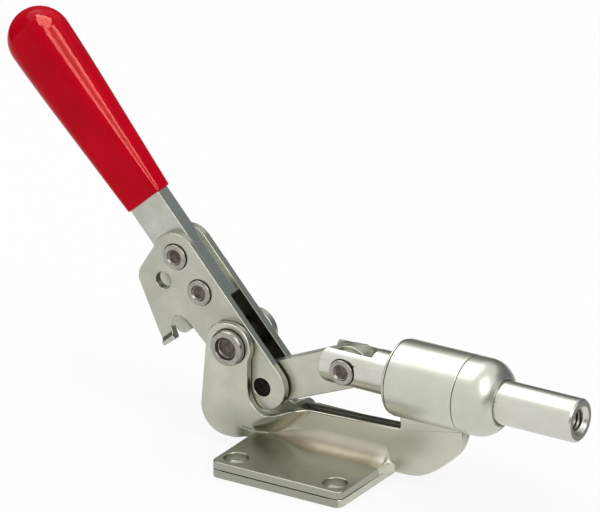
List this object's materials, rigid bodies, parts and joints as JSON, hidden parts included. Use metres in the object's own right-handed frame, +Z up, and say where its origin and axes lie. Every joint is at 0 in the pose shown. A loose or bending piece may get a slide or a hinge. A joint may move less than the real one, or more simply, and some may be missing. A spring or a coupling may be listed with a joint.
{
  "type": "push-pull toggle clamp",
  "caption": "Straight-line toggle clamp: a hand lever drives a guided plunger through a link; stamped steel frame on a flanged base, moulded grip, threaded plunger end.",
  "frame": {"origin": "underside of the base plate, at the centre of its bolt pattern", "axes": "+X the way the plunger pushes, +Z up out of the base, the plunger runs in the plane Y = 0"},
  "size_m": [0.2386, 0.0702, 0.1484],
  "materials": {
    "zinc_plated_steel": "satin zinc plate",
    "rod_steel": "ground and plated",
    "bar_steel": "zinc plate over cold drawn bar",
    "rivet_steel": "bright plated",
    "bush_steel": "hardened, dull",
    "pin_steel": "hardened, black",
    "grip_vinyl": "glossy moulded vinyl"
  },
  "bodies": {
    "base": {"base_plate": "zinc_plated_steel", "frame_half_right": "zinc_plated_steel", "frame_half_left": "zinc_plated_steel", "barrel": "zinc_plated_steel", "rear_bush": "bush_steel", "front_bush": "bush_steel", "nose_cap": "zinc_plated_steel", "main_rivet": "rivet_steel"},
    "handle": {"handle_plate_right": "zinc_plated_steel", "handle_plate_left": "zinc_plated_steel", "handle_bar": "bar_steel", "grip": "grip_vinyl", "pivot_bush": "bush_steel", "link_pin": "pin_steel", "handle_rivet_upper": "rivet_steel", "handle_rivet_lower": "rivet_steel"},
    "link": {"link": "zinc_plated_steel"},
    "plunger": {"plunger": "rod_steel", "clevis_rivet": "rivet_steel", "clevis_spacer_right": "bush_steel", "clevis_spacer_left": "bush_steel"}
  },
  "joints": [
    {"name": "handle_pivot", "type": "hinge", "parent": "base", "child": "handle", "pos_m": [-0.035, 0, 0.0393], "axis": [0, -1, 0], "range_deg": [-25, 51.8]},
    {"name": "link_pivot", "type": "hinge", "parent": "handle", "child": "link", "pos_m": [-0.02345, 0, 0.02472], "axis": [0, -1, 0], "range_deg": [-70.8, 34.2]},
    {"name": "plunger_slide", "type": "slide", "parent": "base", "child": "plunger", "axis": [1, 0, 0], "range_m": [-0.0063, 0.01303]}
  ],
  "couplings": [
    {"joint": "link_pivot", "follows": "handle_pivot", "ratio": -1.3639},
    {"joint": "plunger_slide", "follows": "handle_pivot", "m_per_rad": 0.014404}
  ]
}
